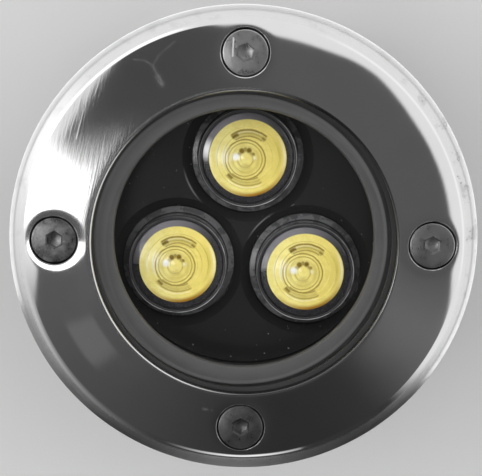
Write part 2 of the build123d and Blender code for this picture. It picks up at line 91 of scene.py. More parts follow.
class Value:
    """A socket of a node tree, with the operators that the patterns are written in."""

    def __init__(self, paint, socket):
        self.paint = paint
        self.socket = socket

    def __add__(self, other):
        return self.paint.maths("ADD", self, other)

    def __sub__(self, other):
        return self.paint.maths("SUBTRACT", self, other)

    def __mul__(self, other):
        return self.paint.maths("MULTIPLY", self, other)

    def __truediv__(self, other):
        return self.paint.maths("DIVIDE", self, other)

    def __radd__(self, other):
        return self.paint.maths("ADD", other, self)

    def __rsub__(self, other):
        return self.paint.maths("SUBTRACT", other, self)

    def __rmul__(self, other):
        return self.paint.maths("MULTIPLY", other, self)

    def __pow__(self, other):
        return self.paint.maths("POWER", self, other)


class Paint:
    """A node tree that is written as expressions."""

    def __init__(self, tree):
        self.tree = tree

    def node(self, kind, inputs=None, output=0, **settings):
        """Adds a node: its settings first, then the values or links of its sockets."""
        made = self.tree.nodes.new(kind)
        for name, value in settings.items():
            setattr(made, name, value)
        for key, value in (inputs or {}).items():
            if isinstance(value, Value):
                self.tree.links.new(value.socket, made.inputs[key])
            else:
                made.inputs[key].default_value = value
        return Value(self, made.outputs[output])

    def maths(self, operation, *values):
        return self.node("ShaderNodeMath", dict(enumerate(values)), operation=operation)

    def vector(self, operation, *values):
        output = "Value" if operation == "DOT_PRODUCT" else "Vector"
        return self.node("ShaderNodeVectorMath", dict(enumerate(values)), output, operation=operation)

    def step(self, value, low, high):
        """Soft step from 0 at low to 1 at high."""
        limits = {0: value, 1: low, 2: high}
        return self.node("ShaderNodeMapRange", limits, interpolation_type="SMOOTHSTEP")

    def hump(self, value, centre, half_width):
        """Soft hump, 1 at centre and 0 at half_width from it."""
        return 1 - self.step(self.maths("ABSOLUTE", value - centre), 0.0, half_width)

    def span(self, value, start, start_full, end_full, end):
        """1 over a stretch of a value, with soft ends."""
        return self.step(value, start, start_full) * (1 - self.step(value, end_full, end))

    def fold(self, operation, values):
        """One value out of several, such as the largest by MAXIMUM."""
        folded, *others = values
        for value in others:
            folded = self.maths(operation, folded, value)
        return folded

    def blend(self, factor, first, second):
        """Colour between two colours."""
        return self.node("ShaderNodeMix", {0: factor, 6: first, 7: second}, 2, data_type="RGBA")

    def split(self, vector):
        parts = self.node("ShaderNodeSeparateXYZ", {0: vector}).socket.node
        return [Value(self, socket) for socket in parts.outputs]

    def join(self, x, y, z):
        return self.node("ShaderNodeCombineXYZ", {0: x, 1: y, 2: z})

    def place(self):
        """Place on the object, in metres."""
        return self.node("ShaderNodeTexCoord", output="Object")

    def own_place(self):
        """Place on a turned piece about its own axis, in metres."""
        return self.node("ShaderNodeAttribute", output="Vector", attribute_name="own_place")

    def length(self, x, y):
        """Distance in the plan."""
        return self.maths("SQRT", x * x + y * y)

    def bearing(self, x, y):
        """Bearing in the plan in degrees, anticlockwise from the east."""
        return self.maths("ARCTAN2", y, x) * (180 / math.pi)

    def noise(self, vector, scale, detail=3.0, roughness=0.5):
        sizes = {"Vector": vector, "Scale": scale, "Detail": detail, "Roughness": roughness}
        return self.node("ShaderNodeTexNoise", sizes)

    def stretched(self, vector, scale_x, scale_y, scale_z, turn=0.0):
        """The pattern's own coordinates, turned about the lamp's axis and scaled along each side."""
        turned = self.node("ShaderNodeMapping", {"Vector": vector, "Rotation": (0, 0, turn)})
        return self.node("ShaderNodeMapping", {"Vector": turned, "Scale": (scale_x, scale_y, scale_z)})

    def bump(self, height, distance):
        return self.node("ShaderNodeBump", {"Height": height, "Distance": distance, "Strength": 1.0})

    def segment(self, point_x, point_y, start, end):
        """Distance in metres from a point to a straight mark between two places on the face."""
        along = Vector(end) - Vector(start)
        share = ((point_x - start[0]) * along.x + (point_y - start[1]) * along.y) / along.length_squared
        share = self.maths("MINIMUM", self.maths("MAXIMUM", share, 0.0), 1.0)
        return self.length(point_x - (share * along.x + start[0]), point_y - (share * along.y + start[1]))


def material(name):
    """New material with its Paint and its Principled shader."""
    made = bpy.data.materials.new(name)
    made.use_nodes = True
    shader = made.node_tree.nodes["Principled BSDF"]
    return made, Paint(made.node_tree), shader


def finish_shader(paint, shader, **sockets):
    """Sets the shader's sockets: constants directly, patterns by a link. Underscores stand for spaces."""
    for name, value in sockets.items():
        socket = shader.inputs[name.replace("_", " ")]
        if isinstance(value, Value):
            paint.tree.links.new(value.socket, socket)
        else:
            socket.default_value = value


def grey(level):
    return (level, level, level, 1.0)


def into_scene(name, data):
    """New object in the scene."""
    made = bpy.data.objects.new(name, data)
    bpy.context.scene.collection.objects.link(made)
    return made


def mesh_object(name, points, faces):
    data = bpy.data.meshes.new(name)
    data.from_pydata(points, [], faces)
    data.validate()
    return into_scene(name, data)


# ---------------------------------------------------------------- camera, light and floor

camera_distance = 350 * MM
camera_tilt_east = math.radians(0.349)
camera_tilt_north = math.radians(8.328)
camera_roll = math.radians(0.775)
camera_aim = Vector((-0.437, 0.788, 95.0)) * MM
camera_focal = 123.138


def make_camera():
    """Looks down on the face, leaning a little to the north."""
    east = math.sin(camera_tilt_east)
    north = math.sin(camera_tilt_north)
    above = math.sqrt(1 - east**2 - north**2)
    place = Vector((0, 0, camera_aim.z)) + Vector((east, north, above)) * camera_distance
    ahead = (camera_aim - place).normalized()
    right = ahead.cross(Vector((0, 1, 0))).normalized()
    up = right.cross(ahead)
    rolled_right = right * math.cos(camera_roll) + up * math.sin(camera_roll)
    rolled_up = up * math.cos(camera_roll) - right * math.sin(camera_roll)
    data = bpy.data.cameras.new("camera")
    data.lens = camera_focal
    data.clip_start = 0.01
    camera = into_scene("camera", data)
    turn = Matrix((rolled_right, rolled_up, -ahead)).transposed()
    camera.matrix_world = Matrix.Translation(place) @ turn.to_4x4()
    bpy.context.scene.camera = camera


def make_studio():
    """Room that the steel mirrors: pale walls, a dim ceiling, a dark south and a window to the west.

    The camera itself sees it plain and pale.
    """
    world = bpy.data.worlds.new("studio")
    bpy.context.scene.world = world
    world.use_nodes = True
    paint = Paint(world.node_tree)
    lean = math.radians(8.0)        # to the south, where a level face mirrors the camera's view
    toward = paint.vector("NORMALIZE", paint.node("ShaderNodeTexCoord", output="Generated"))
    east = paint.vector("DOT_PRODUCT", toward, (1, 0, 0))
    north = paint.vector("DOT_PRODUCT", toward, (0, math.cos(lean), math.sin(lean)))
    up = paint.vector("DOT_PRODUCT", toward, (0, -math.sin(lean), math.cos(lean)))

    # Both in degrees: tilt is counted down from overhead, turn from a bearing of -75, on the dark side.
    tilt = paint.maths("ARCCOSINE", up) * (180 / math.pi)
    turn = paint.maths("FLOORED_MODULO", paint.bearing(east, north) + 75.0, 360.0)

    lit_side = paint.span(turn, 24.0, 40.0, 250.0, 330.0)
    far_west = paint.step(turn, 262.0, 285.0)
    low_west = 1 - far_west * (1 - paint.step(tilt, 32.0, 60.0)) * 0.8
    horizon_glow = paint.hump(turn, 343.0, 18.0) * paint.hump(tilt, 72.0, 16.0)
    cove_line = paint.hump(tilt, 46.0, 9.0)
    north_cove = paint.span(turn, 55.0, 70.0, 132.0, 150.0) * 0.2
    north_cove = north_cove + paint.span(turn, 178.0, 192.0, 232.0, 240.0)
    south_cove = paint.hump(turn, 346.0, 22.0) * 1.4
    west_glow = paint.span(turn, 214.0, 228.0, 240.0, 252.0) * paint.step(tilt, 34.0, 44.0)
    walls = lit_side * low_west + horizon_glow * 0.6 + cove_line * (north_cove + south_cove)
    walls = walls + west_glow * 0.5 + 0.045

    fan = paint.hump(turn, 45.0, 26.0)
    south = 1 - paint.hump(paint.maths("WRAP", turn, 180.0, -180.0), 0.0, 95.0)
    ceiling = south * 0.09 + fan * 0.1 - paint.span(turn, 150.0, 190.0, 240.0, 250.0) * 0.045 + 0.035
    panel = paint.span(turn, 281.0, 284.0, 296.0, 299.0) * paint.span(tilt, 10.0, 12.0, 23.0, 25.0)
    edge = 35.5 - paint.step(turn, 40.0, 75.0) * 7.0 + far_west * 9.0
    edge = edge + paint.hump(turn, 190.0, 34.0) * 9.0 + paint.hump(turn, 128.0, 18.0) * 2.0
    past_ceiling = paint.step(tilt - edge, -1.0, 1.0)
    room = past_ceiling * walls + (1 - past_ceiling) * (ceiling + panel * 0.07)

    window = paint.span(turn, 225.0, 241.0, 254.0, 258.0) * paint.span(tilt, 6.0, 9.0, 40.0, 50.0)
    level = paint.maths("MAXIMUM", room, window * 3.2)
    seen = paint.node("ShaderNodeLightPath", output="Is Camera Ray")
    strength = seen * 0.9 + (1 - seen) * level
    background = world.node_tree.nodes["Background"]
    background.inputs["Color"].default_value = grey(1.0)
    paint.tree.links.new(strength.socket, background.inputs["Strength"])


def make_lamp(name, bearing, rise, distance, width, power):
    """Soft square lamp that looks at the face from a bearing and a rise in degrees. Mirrors leave it out."""
    data = bpy.data.lights.new(name, "AREA")
    data.size = width
    data.energy = power
    lamp = into_scene(name, data)
    across = math.cos(math.radians(rise))
    heading = Vector(
        (
            across * math.cos(math.radians(bearing)),
            across * math.sin(math.radians(bearing)),
            math.sin(math.radians(rise)),
        )
    )
    lamp.location = Vector((0, 0, crown)) + heading * distance
    lamp.rotation_euler = heading.to_track_quat("Z", "Y").to_euler()
    lamp.visible_glossy = False


def make_floor():
    """Pale floor under the object."""
    half = 1.6
    corners = [(-half, -half, 0), (half, -half, 0), (half, half, 0), (-half, half, 0)]
    floor = mesh_object("floor", corners, [(0, 1, 2, 3)])
    made, paint, shader = material("floor_paper")
    finish_shader(
        paint,
        shader,
        Base_Color=paint.blend(paint.noise(paint.place(), 3.0, 2.0), grey(0.58), grey(0.61)),
        Roughness=0.9,
        Specular_IOR_Level=0.1,
    )
    floor.data.materials.append(made)


def make_card(name, start, end, steps, outline, finish):
    """Stage card turned from an outline of (radius, height) between two bearings.

    The camera and the shadows leave it out, so that it works on polished metal alone.
    """
    width = len(outline)
    points = []
    for step in range(steps + 1):
        bearing = math.radians(start + (end - start) * step / steps)
        points += [(radius * math.cos(bearing), radius * math.sin(bearing), z) for radius, z in outline]
    faces = []
    for step in range(steps):
        for row in range(width - 1):
            first = width * step + row
            faces.append((first, first + 1, first + width + 1, first + width))
    card = mesh_object(name, points, faces)
    card.data.materials.append(finish)
    card.visible_camera = False
    card.visible_diffuse = False
    card.visible_shadow = False
    card.visible_transmission = False


card_height = 3 * MM        # both cards lie just over the floor


def make_light_card():
    """Pale card on the floor round the north side that keeps the rim bright against the floor."""
    made, paint, shader = material("light_card_silk")
    finish_shader(
        paint, shader, Base_Color=grey(0.9), Roughness=1.0, Emission_Color=grey(1.0), Emission_Strength=0.35
    )
    make_card("light_card", -42.0, 203.0, 48, ((58 * MM, card_height), (260 * MM, card_height)), made)


def make_shade_card():
    """Dark card south of the object, with an upright wall, as a studio uses to keep an edge dark."""
    made, paint, shader = material("shade_card_felt")
    x, y, _ = paint.split(paint.place())
    bearing = paint.maths("FLOORED_MODULO", paint.bearing(x, y), 360.0)
    tone = 0.36 - paint.step(bearing, 212.0, 226.0) * 0.2 - paint.step(bearing, 228.0, 238.0) * 0.11
    tone = tone + paint.hump(bearing, 268.0, 22.0) * 0.15
    tone = tone - paint.step(bearing, 288.0, 298.0) * 0.02 + paint.step(bearing, 304.0, 316.0) * 0.06
    finish_shader(paint, shader, Base_Color=tone, Roughness=1.0)
    outline = ((150 * MM, 122 * MM), (150 * MM, card_height), (60 * MM, card_height))
    make_card("shade_card", 203.0, 318.0, 24, outline, made)


# ---------------------------------------------------------------- finishes


# Marks on the ring in millimetres: start, end, half width and strength.
ring_marks = [
    ((-19.3, 37.1), (-18.2, 34.9), 0.42, 0.30),
    ((-18.2, 34.9), (-17.4, 33.3), 0.7, 0.36),
    ((-19.2, 37.2), (-18.1, 39.1), 0.26, 0.24),
    ((-18.1, 39.1), (-14.8, 42.0), 0.26, 0.17),
    ((-19.3, 37.0), (-21.0, 38.1), 0.28, 0.26),
    ((-21.0, 38.1), (-23.2, 38.2), 0.24, 0.2),
    ((-33.7, 27.7), (-35.2, 21.6), 0.12, 0.34),
    ((-8.0, -35.9), (-7.2, -36.0), 0.34, 0.5),
    ((-6.3, -36.1), (-6.1, -36.2), 0.24, 0.35),
]
mark_spread = 1.9       # how far a mark fades out, in its half widths


def polished_steel():
    """Polished stainless steel with fine scratches, a scuff, faint stains on the shoulder and a painted dark
    reflection on the lip's east side.
    """
    made, paint, shader = material("ring_polish")
    place = paint.place()
    x, y, _ = paint.split(place)
    radius = paint.length(x, y)
    on_shoulder = paint.step(radius, crease_radius - 0.2 * MM, crease_radius + 0.6 * MM)
    bearing = paint.bearing(x, y)
    north_west = paint.hump(bearing, 150.0, 34.0) * (1 - on_shoulder)
    east = paint.hump(bearing, 18.0, 42.0) * on_shoulder
    cloud = paint.noise(place, 90.0, 4.0, 0.6)
    grain = paint.noise(paint.stretched(place, 5200.0, 420.0, 420.0, 0.14), 1.0, 3.0, 0.7)
    long_lines = paint.noise(paint.stretched(place, 1900.0, 130.0, 130.0, 0.22), 1.0, 2.0, 0.6)
    swells = paint.noise(place, 75.0, 1.0, 0.4)

    def scratched(start, end, half_width, weight):
        """Soft mark along a straight line."""
        start, end = [(east_mm * MM, north_mm * MM) for east_mm, north_mm in (start, end)]
        reach = half_width * mark_spread * MM
        return (1 - paint.step(paint.segment(x, y, start, end), 0.0, reach)) * weight

    scuff = paint.fold("MAXIMUM", [scratched(*mark) for mark in ring_marks])
    blotch = paint.noise(place, 210.0, 4.0, 0.65)
    stain = paint.step(blotch, 0.52, 0.66) * on_shoulder
    speck = paint.step(paint.noise(place, 1500.0, 2.0, 0.6), 0.60, 0.72) * paint.step(blotch, 0.52, 0.60)
    tone = paint.blend(cloud, grey(0.66), grey(0.74))
    tone = paint.blend(stain * (east * 0.35 + 0.18), tone, grey(0.35))
    tone = paint.blend(speck * east, tone, grey(0.16))
    tone = paint.blend(scuff, tone, grey(0.86))
    on_lip = 1 - paint.step(radius, lip_wall + 0.5 * MM, lip_wall + 0.75 * MM)
    # Painted shade: the lip's roll is darkened on its east side to stand for the dark reflection there.
    painted_dark_lip = on_lip * (1 - paint.step(paint.maths("ABSOLUTE", bearing + 15.0), 72.0, 105.0))
    tone = paint.blend(painted_dark_lip * 0.9, tone, grey(0.04))
    screws_away = [paint.length(x - screw_x, y - screw_y) for screw_x, screw_y in screw_axes]
    from_screw = paint.fold("MINIMUM", screws_away)
    pocket_grime = 1 - paint.step(from_screw, pocket_radius + 0.15 * MM, pocket_radius + 0.35 * MM)
    tone = paint.blend(pocket_grime * paint.step(blotch, 0.35, 0.6) * 0.9, tone, grey(0.16))
    roughness = cloud * 0.05 + grain * 0.04 + on_shoulder * 0.22 + scuff * 0.36 + north_west * 0.05 + 0.02
    roughness = roughness + on_lip * 0.1 + pocket_grime * 0.25
    height = grain * (north_west + 0.1) + long_lines * (north_west * 0.9 + 0.06) * 4.0 + swells * 9.0
    finish_shader(
        paint,
        shader,
        Base_Color=tone,
        Metallic=1.0,
        Roughness=roughness,
        Normal=paint.bump(height, 0.004 * MM),
    )
    return made


def screw_steel(name, dark, light, painted_highlight_streak=None):
    """Plain stainless steel with turning marks about the screw's own axis and nicks from the key. Its dark
    and light tones are set per screw as painted light and shade, and the streak is a scratch with a painted
    highlight.
    """
    made, paint, shader = material(name)
    place = paint.place()
    x, y, _ = paint.split(paint.own_place())
    radius = paint.length(x, y)
    turning_marks = paint.noise(paint.join(radius * 5200.0, 0.0, 0.0), 1.0, 2.0, 0.6)
    brushing = paint.noise(paint.stretched(place, 4200.0, 300.0, 300.0), 1.0, 3.0, 0.6)
    blotch = paint.step(paint.noise(place, 480.0, 2.0, 0.55), 0.25, 0.75)
    by_socket = 1 - paint.step(radius, 1.9 * MM, 2.7 * MM)
    nick = paint.step(paint.noise(place, 2600.0, 2.0, 0.7), 0.60, 0.70) * (by_socket * 0.7 + 0.3)
    tone = paint.blend(blotch, grey(dark), grey(light))
    tone = paint.blend(nick * 0.5, tone, grey(0.8))
    roughness = blotch * 0.06 + brushing * 0.1 + 0.22
    if painted_highlight_streak:
        start, end, half_width = painted_highlight_streak
        away = paint.segment(x, y, start, end)
        mark = 1 - paint.step(away, half_width * 0.4, half_width * 1.4)
        # Painted highlight: the scratch is shown nearly white, as the light that it catches.
        tone = paint.blend(mark, tone, grey(0.95))
        roughness = roughness + mark * 0.3
    height = turning_marks * 1.8 + brushing * 0.8 + blotch * 0.1 + nick * 0.15
    finish_shader(
        paint,
        shader,
        Base_Color=tone,
        Metallic=1.0,
        Roughness=roughness,
        Normal=paint.bump(height, 0.008 * MM),
    )
    return made


def clear_glass():
    """Toughened glass: clear, with a weak mirror that grows at a glancing view, and a little dust."""
    made, paint, shader = material("window_glass")
    place = paint.place()
    dust = paint.step(paint.noise(place, 900.0, 2.0, 0.6), 0.66, 0.78)
    smear = paint.noise(place, 55.0, 3.0, 0.6)
    glance = paint.node("ShaderNodeLayerWeight", {"Blend": 0.5}, output="Facing")
    gloss = glance**5.0 * 0.98 + 0.02       # 2% of the light straight on, all of it at the flattest view
    cover = paint.maths("MINIMUM", gloss + dust * 0.02 + smear * 0.004, 1.0)
    finish_shader(
        paint,
        shader,
        Base_Color=grey(0.9),
        Metallic=1.0,
        Roughness=smear * 0.05 + 0.01,
        Alpha=cover,
    )
    return made


def silicone_grey():
    """Grey silicone with moulding bloom, a painted band of light outside an off-centre circle, a painted
    highlight line and painted shade against the ring.
    """
    made, paint, shader = material("gasket_silicone")
    place = paint.place()
    x, y, _ = paint.split(place)

    # Both circles lie a little off the lamp's axis.
    # Painted light: the gasket is lighter outside this off-centre circle.
    from_light_band_centre = paint.length(x - 0.55 * MM, y + 1.8 * MM)
    painted_light_band = paint.step(from_light_band_centre, 30.0 * MM, 30.4 * MM)
    # Painted highlight along this circle, and painted shade just outside it, under the ring's lip.
    from_ring = paint.length(x + 0.5 * MM, y + 0.65 * MM)
    painted_highlight_line = paint.hump(from_ring, 31.1 * MM, 0.5 * MM)
    bloom = paint.noise(place, 140.0, 4.0, 0.6)
    fine = paint.noise(place, 2400.0, 2.0, 0.5)
    tone = paint.blend(bloom, grey(0.078), grey(0.108))
    tone = paint.blend(painted_light_band * 0.4, tone, grey(0.16))
    tone = paint.blend(painted_highlight_line * 0.5, tone, grey(0.18))
    tone = paint.blend(paint.step(from_ring, 31.45 * MM, 31.65 * MM), tone, grey(0.02))
    finish_shader(
        paint,
        shader,
        Base_Color=tone,
        Roughness=bloom * 0.15 + 0.45,
        Normal=paint.bump(fine, 0.01 * MM),
    )
    return made


def moulded(name, dark, light, roughness, fine_scale=1800.0, fine_depth=0.01, coat=0.0, metallic=0.0):
    """Moulded or painted surface: a slow change of tone, a fine texture and uneven gloss."""
    made, paint, shader = material(name)
    place = paint.place()
    slow = paint.noise(place, 70.0, 4.0, 0.6)
    fine = paint.noise(place, fine_scale, 2.0, 0.5)
    finish_shader(
        paint,
        shader,
        Base_Color=paint.blend(slow, dark, light),
        Roughness=slow * 0.14 + fine * 0.06 + (roughness - 0.1),
        Metallic=metallic,
        Coat_Weight=coat,
        Coat_Roughness=0.08,
        Normal=paint.bump(fine + slow * 0.5, fine_depth * MM),
    )
    return made


def gloss_plate():
    """Glossy black plastic with a few dust specks and a painted highlight along the edge beside two of the
    wells.
    """
    made, paint, shader = material("plate_gloss")
    place = paint.place()
    x, y, _ = paint.split(place)
    cloud = paint.noise(place, 45.0, 3.0, 0.5)
    speck = paint.step(paint.noise(place, 1500.0, 1.0, 0.4), 0.775, 0.80)

    def painted_highlight_beside(axis, middle, half_span):
        """Painted highlight along part of a circle about a lens, outside its well."""
        off_x = x - axis[0]
        off_y = y - axis[1]
        around = paint.hump(paint.bearing(off_x, off_y), middle, half_span)
        return paint.hump(paint.length(off_x, off_y), 14.5 * MM, 0.3 * MM) * around

    first_highlight_arc = painted_highlight_beside(lens_axes[0], -152.0, 21.0)
    highlight_arcs = paint.maths("MAXIMUM", first_highlight_arc, painted_highlight_beside(lens_axes[2], 136.0, 20.0))
    tone = paint.blend(cloud, grey(0.010), grey(0.020))
    # Dust specks, and the painted highlight arcs beside the wells.
    tone = paint.blend(paint.maths("MAXIMUM", speck * 0.8, highlight_arcs), tone, grey(0.22))
    finish_shader(
        paint,
        shader,
        Base_Color=tone,
        Roughness=cloud * 0.1 + speck * 0.3 + 0.12,
        Normal=paint.bump(cloud, 0.03 * MM),
    )
    return made


def smoked_plastic():
    """Dark smoky plastic with a hazy flange; a thin pale line stands for the light in its rim."""
    made, paint, shader = material("holder_smoke")
    x, y, _ = paint.split(paint.own_place())
    radius = paint.length(x, y)
    bearing = paint.bearing(x, y)
    place = paint.place()
    cloud = paint.noise(place, 160.0, 3.0, 0.6)
    fine = paint.noise(place, 1400.0, 2.0, 0.5)
    patch = paint.step(paint.noise(place, 330.0, 4.0, 0.7), 0.46, 0.56)
    tone = paint.blend(cloud, (0.022, 0.022, 0.024, 1), (0.046, 0.045, 0.049, 1))
    on_flange = paint.step(radius, 11.1 * MM, 11.3 * MM)
    tone = paint.blend(on_flange * (patch * 0.6 + 0.2), tone, (0.14, 0.14, 0.145, 1))
    lower_right = 0.12 + 0.75 * (1 - paint.step(paint.maths("ABSOLUTE", bearing + 50.0), 50.0, 130.0))
    rim_line = paint.hump(radius, 10.72 * MM, 0.16 * MM) * lower_right * paint.step(cloud, 0.25, 0.6)
    tone = paint.blend(rim_line, tone, grey(0.5))
    finish_shader(
        paint,
        shader,
        Base_Color=tone,
        Roughness=cloud * 0.12 + 0.16,
        Coat_Weight=0.6,
        Coat_Roughness=0.1,
        Normal=paint.bump(fine + cloud, 0.012 * MM),
    )
    return made


def yellow_lens():
    """Lens over yellow phosphor, with the rings, the two slots and the emitter painted on its face, and with
    painted highlights and painted light on its rim.
    """
    made, paint, shader = material("lens_yellow")
    local = paint.own_place()
    x, y, _ = paint.split(local)
    pixel = 0.2135 * MM         # the marks on the lens are placed in pixels of the picture
    x = x / pixel
    y = y / pixel
    radius = paint.length(x, y)
    bearing = paint.bearing(x, y)
    bearing_west = paint.maths("ARCTAN2", 0.0 - y, 0.0 - x) * (-180 / math.pi)      # clockwise from the west
    wobble = paint.noise(local, 900.0, 2.0, 0.5)
    bend = (wobble - 0.5) * 1.2
    ring_radius = paint.length(x + 2.7, y + 1.7) + bend
    arch_radius = paint.length(x + 2.2, y - 3.0)
    slot_radius = radius + bend

    def arc(middle, half_span, at_radius, half_width):
        """Mark along part of a circle about the lens's axis."""
        within = 1 - paint.step(paint.maths("ABSOLUTE", bearing - middle), half_span - 5.0, half_span)
        return within * paint.hump(slot_radius, at_radius, half_width)

    def blot(centre_x, centre_y, size):
        """Soft round spot."""
        return 1 - paint.step(paint.length(x - centre_x, y - centre_y), size * 0.35, size)

    patchy = paint.step(paint.noise(local, 420.0, 3.0, 0.6), 0.3, 0.7)
    body = paint.blend(paint.step(x, -34.0, 34.0), (1.0, 0.90, 0.33, 1), (0.97, 0.81, 0.21, 1))
    body = paint.blend(patchy * 0.5, body, (0.78, 0.64, 0.13, 1))
    marks = (
        (paint.hump(ring_radius, 20.6, 1.4), 0.8),
        (paint.hump(ring_radius, 17.4, 1.2), 0.6),
        (paint.hump(ring_radius, 8.0, 1.3), 0.45),
        (paint.hump(ring_radius, 13.5, 3.6), 0.2),
        (paint.hump(arch_radius, 5.6, 2.6) * paint.step(y, 2.0, 4.5), 0.75),
        (arc(88.0, 42.0, 29.0, 2.0), 0.9),
        (arc(88.0, 40.0, 22.6, 1.6), 0.7),
        (arc(88.0, 41.0, 25.8, 5.2), 0.4),
        (arc(120.0, 11.0, 26.4, 5.0), 1.0),
        (arc(51.0, 8.0, 25.4, 4.2), 0.8),
        (arc(-98.0, 41.0, 28.6, 1.7), 0.6),
        (arc(-98.0, 39.0, 22.6, 1.5), 0.7),
        (arc(-98.0, 40.0, 25.6, 4.8), 0.3),
        (arc(-133.0, 10.0, 26.6, 4.2), 0.9),
        (blot(-6.3, 7.2, 4.4), 1.0),
        (blot(1.2, 7.8, 4.2), 1.0),
        (blot(-2.6, 8.8, 3.4), 0.75),
        (blot(-9.2, 3.9, 2.8), 0.8),
        (blot(5.4, 3.9, 2.8), 0.8),
        (paint.hump(y, -9.5, 6.0) * paint.hump(x, -2.0, 10.0), 0.35),
    )
    lines = paint.fold("MAXIMUM", [mark * weight for mark, weight in marks])
    colour = paint.blend(lines, body, (0.20, 0.125, 0.003, 1))
    # Painted highlights: the window's glints on the lens's rings and rim, in cream.
    gleams = (
        (paint.hump(radius, 32.0, 2.6) * paint.hump(bearing_west, 6.0, 36.0), 0.6),
        (paint.hump(radius, 25.6, 2.6) * paint.hump(bearing_west, 4.0, 40.0), 0.9),
        (paint.hump(radius, 21.4, 1.8) * paint.hump(bearing_west, 2.0, 36.0), 0.7),
        (paint.hump(x, -12.0, 6.0) * paint.hump(y, 1.0, 5.5), 1.0),
        (paint.hump(x, 7.0, 3.5) * paint.hump(y, 0.0, 3.5), 0.55),
        (paint.hump(radius, 38.0, 1.8) * paint.hump(bearing, 5.0, 42.0), 0.75),
        (arc(-98.0, 36.0, 31.0, 1.3), 0.4),
        (arc(88.0, 30.0, 27.2, 1.0), 0.3),
    )
    painted_highlights = paint.fold("MAXIMUM", [gleam * weight for gleam, weight in gleams])
    colour = paint.blend(painted_highlights, colour, (1.0, 0.98, 0.76, 1))
    # Painted highlight: a white glint left of the middle.
    colour = paint.blend(paint.hump(x, -12.5, 5.0) * paint.hump(y, 1.0, 5.0), colour, grey(1.0))
    right_band = paint.hump(radius, 33.0, 3.2) * paint.hump(bearing, 0.0, 50.0)
    colour = paint.blend(right_band * 0.4, colour, (0.45, 0.36, 0.04, 1))
    amber = paint.step(radius, 34.5, 39.0) * paint.hump(bearing, -75.0, 85.0)
    colour = paint.blend(amber, colour, (0.36, 0.17, 0.004, 1))
    phosphor = 1 - paint.step(radius, 39.6, 40.3)
    # Painted light: the smoky rim outside the phosphor is lighter towards the upper left, where the light
    # falls.
    painted_upper_left_light = paint.hump(bearing, 118.0, 95.0) * 0.85 + wobble * 0.12
    smoke = paint.blend(painted_upper_left_light, (0.014, 0.014, 0.016, 1), (0.24, 0.23, 0.25, 1))
    _, north, _ = paint.split(paint.place())
    # Painted highlight on the rim's west side, on the north lens alone.
    side_gleam = paint.hump(bearing_west, 12.0, 19.0) * paint.step(radius, 40.2, 41.6)
    side_gleam = side_gleam * paint.step(north, 0.0, 8 * MM)
    smoke = paint.blend(side_gleam, smoke, grey(0.9))
    colour = paint.blend(phosphor, smoke, colour)
    finish_shader(
        paint,
        shader,
        Base_Color=colour,
        Roughness=0.25,
        Coat_Weight=1.0,
        Coat_Roughness=0.03,
        Coat_IOR=1.5,
    )
    return made


# ---------------------------------------------------------------- meshes


def rounded(corners):
    """Open outline through (radius, height, fillet radius) corners, with round corners."""
    points = []
    last = len(corners) - 1
    for index, (radius, height, fillet) in enumerate(corners):
        here = np.array((radius, height))
        if index in (0, last) or fillet <= 0:
            points.append(here)
            continue
        back = np.array(corners[index - 1][:2]) - here
        ahead = np.array(corners[index + 1][:2]) - here
        back_length = np.linalg.norm(back)
        ahead_length = np.linalg.norm(ahead)
        back = back / back_length
        ahead = ahead / ahead_length
        half = math.acos(np.clip(back @ ahead, -1, 1)) / 2
        reach = min(fillet / math.tan(half), 0.98 * back_length, 0.98 * ahead_length)
        fillet = reach * math.tan(half)
        centre = here + (back + ahead) / np.linalg.norm(back + ahead) * fillet / math.sin(half)
        start = here + back * reach - centre
        end = here + ahead * reach - centre
        first = math.atan2(start[1], start[0])
        sweep = (math.atan2(end[1], end[0]) - first + math.pi) % (2 * math.pi) - math.pi
        steps = max(3, math.ceil(abs(math.degrees(sweep)) / 9))
        for step in range(steps + 1):
            angle = first + sweep * step / steps
            points.append(centre + fillet * np.array((math.cos(angle), math.sin(angle))))
    return np.array(points)


def dress(piece, body, slot, finish, *nodes):
    """Gives a piece its finish and the body that it rides on, and hides the nodes that it stands for. The
    slot is not used.
    """
    piece.data.materials.clear()
    piece.data.materials.append(finish)
    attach(piece, body)
    if nodes:
        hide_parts(*nodes)


ring_columns = 600
window_columns = 15         # columns each side of a screw that its pocket's patch takes
window_rows = 24            # rows of that patch across the screw circle
window_reach = 5.8 * MM     # patch each side of the screw circle
row_gap = 0.1 * MM          # least step between the patch's rows and the next ones
dish_rows_before = 11       # rows each side of the patch that the dishes may lower too
dish_rows_after = 14
patch_rings = 7             # rings from the patch's edge to the pocket
patch_spacing = 1.4         # draws the patch's rings closer towards the pocket
pocket_radius = 5.1 * MM
pocket_edge = 0.2 * MM
pocket_mouth = pocket_radius + pocket_edge
dish_reach = 7.8 * MM
dish_depths = (0.03 * MM, 0.10 * MM, 0.04 * MM, 0.04 * MM)      # the press leaves them uneven
lip_offset = (0.22 * MM, -0.2 * MM)
hole_radius = 2.75 * MM


def face_outline():
    """The ring's upper outline, from the lip's underside over the domed face to the rim's underside."""
    dome_radius = 57 * MM
    dome_top = crown - 0.02 * MM
    dome_middle = crease_radius - 13.84 * MM
    dome_inner = dome_middle + 0.15 * MM
    dome_outer = crease_radius - 0.85 * MM
    dome = [
        (radius, dome_top - dome_radius + math.sqrt(dome_radius**2 - (radius - dome_middle) ** 2))
        for radius in np.linspace(dome_inner, dome_outer, 30)
    ]
    lip = rounded(
        [
            (lip_wall, lip_underside, 0),
            (lip_wall, dome_top - 0.015 * MM, 0.42 * MM),
            (*dome[0], 0),
        ]
    )
    shoulder = rounded(
        [
            (*dome[-1], 0),
            (crease_radius, crease_height, 4.4 * MM),
            (face_radius - 1.25 * MM, ground + 3.35 * MM, 3.5 * MM),
            (face_radius - 0.15 * MM, ground + 1.75 * MM, 0.8 * MM),
            (face_radius, ground + 1.3 * MM, 0.4 * MM),
            (face_radius, ground, 0.15 * MM),
            (lap_radius, ground, 0),
        ]
    )
    return np.vstack([lip[:-1], dome, shoulder[1:]])


